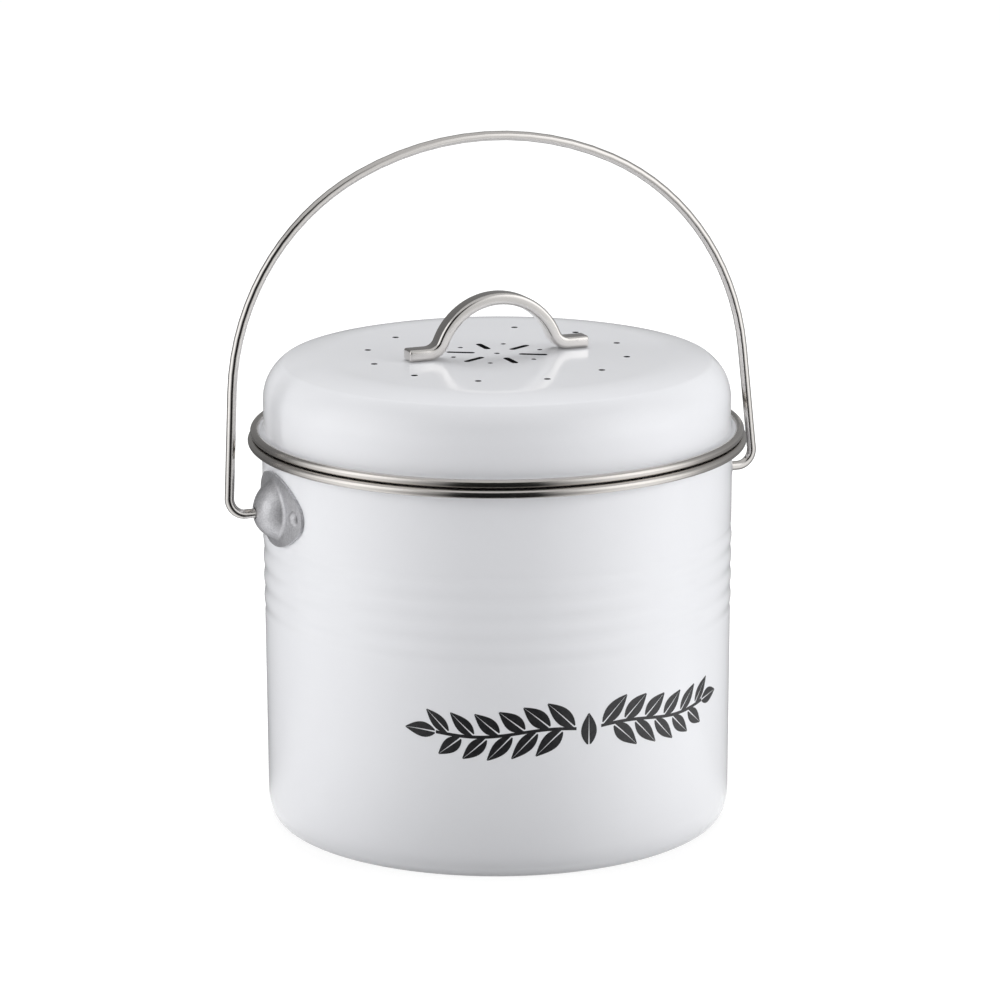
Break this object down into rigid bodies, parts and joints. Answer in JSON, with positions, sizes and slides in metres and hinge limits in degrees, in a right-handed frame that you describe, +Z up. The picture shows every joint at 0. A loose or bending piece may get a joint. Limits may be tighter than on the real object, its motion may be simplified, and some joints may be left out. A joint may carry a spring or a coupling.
{
  "type": "compost caddy",
  "caption": "Round white sheet-steel compost caddy with bare steel rim beads, a swinging wire bail in riveted ears, and a vented lift-off lid with an arched handle and a filter under it.",
  "frame": {"origin": "on the axis of the bucket, in the plane that the caddy stands on", "axes": "+Z up along the bucket's axis, X along the pivot of the bail and the lid handle, -Y to the front, so that the ears are left and right"},
  "size_m": [0.2202, 0.1914, 0.265],
  "materials": {
    "white_enamel": "glossy white coating",
    "polished_steel": "polished, uncoated",
    "zinc_steel": "matte galvanised",
    "holder_plastic": "matte moulded",
    "charcoal_foam": "open charcoal foam"
  },
  "bodies": {
    "bucket": {"bucket_shell": "white_enamel", "bucket_rim_ring": "polished_steel", "ear_left": "zinc_steel", "ear_right": "zinc_steel", "ear_rivets": "zinc_steel"},
    "bail": {"bail_wire": "polished_steel"},
    "lid": {"lid_shell": "white_enamel", "lid_rim_ring": "polished_steel", "lid_skirt": "polished_steel", "lid_handle": "polished_steel", "handle_screws": "polished_steel", "handle_washers": "polished_steel", "filter_clips": "polished_steel"},
    "filter": {"filter_holder": "holder_plastic", "charcoal_filter": "charcoal_foam"}
  },
  "joints": [
    {"name": "bail_swing", "type": "hinge", "parent": "bucket", "child": "bail", "pos_m": [0, 0, 0.1276], "axis": [1, 0, 0], "range_deg": [-132, 141]},
    {"name": "lid_lift", "type": "slide", "parent": "bucket", "child": "lid", "axis": [0, 0, 1], "range_m": [0, 0.042]},
    {"name": "filter_twist", "type": "hinge", "parent": "lid", "child": "filter", "pos_m": [0, 0, 0.17], "axis": [0, 0, -1], "range_deg": [0, 25]}
  ]
}
